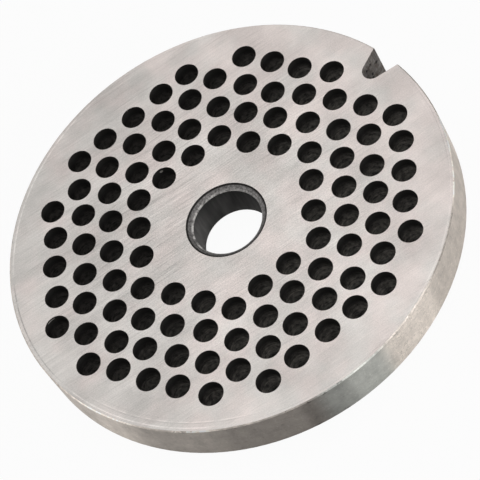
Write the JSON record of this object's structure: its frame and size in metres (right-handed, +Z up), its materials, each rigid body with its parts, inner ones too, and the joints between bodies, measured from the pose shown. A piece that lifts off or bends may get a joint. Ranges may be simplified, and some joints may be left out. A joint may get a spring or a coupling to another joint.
{
  "type": "meat grinder plate",
  "caption": "Perforated steel disc with a bevelled centre bore and a keyway in its rim; meat is pressed through its holes against a turning knife.",
  "frame": {"origin": "on the axis of the centre bore, on the plate's lower face", "axes": "+Z up along the bore's axis, out of the cutting face; +X out of the keyway; +Y completes a right-handed frame"},
  "size_m": [0.0819, 0.082, 0.0082],
  "materials": {
    "plate_steel": "ground satin faces with fine straight grinding marks, turned rim, dark drilled walls"
  },
  "bodies": {
    "root": {"grinder_plate": "plate_steel"}
  },
  "joints": []
}
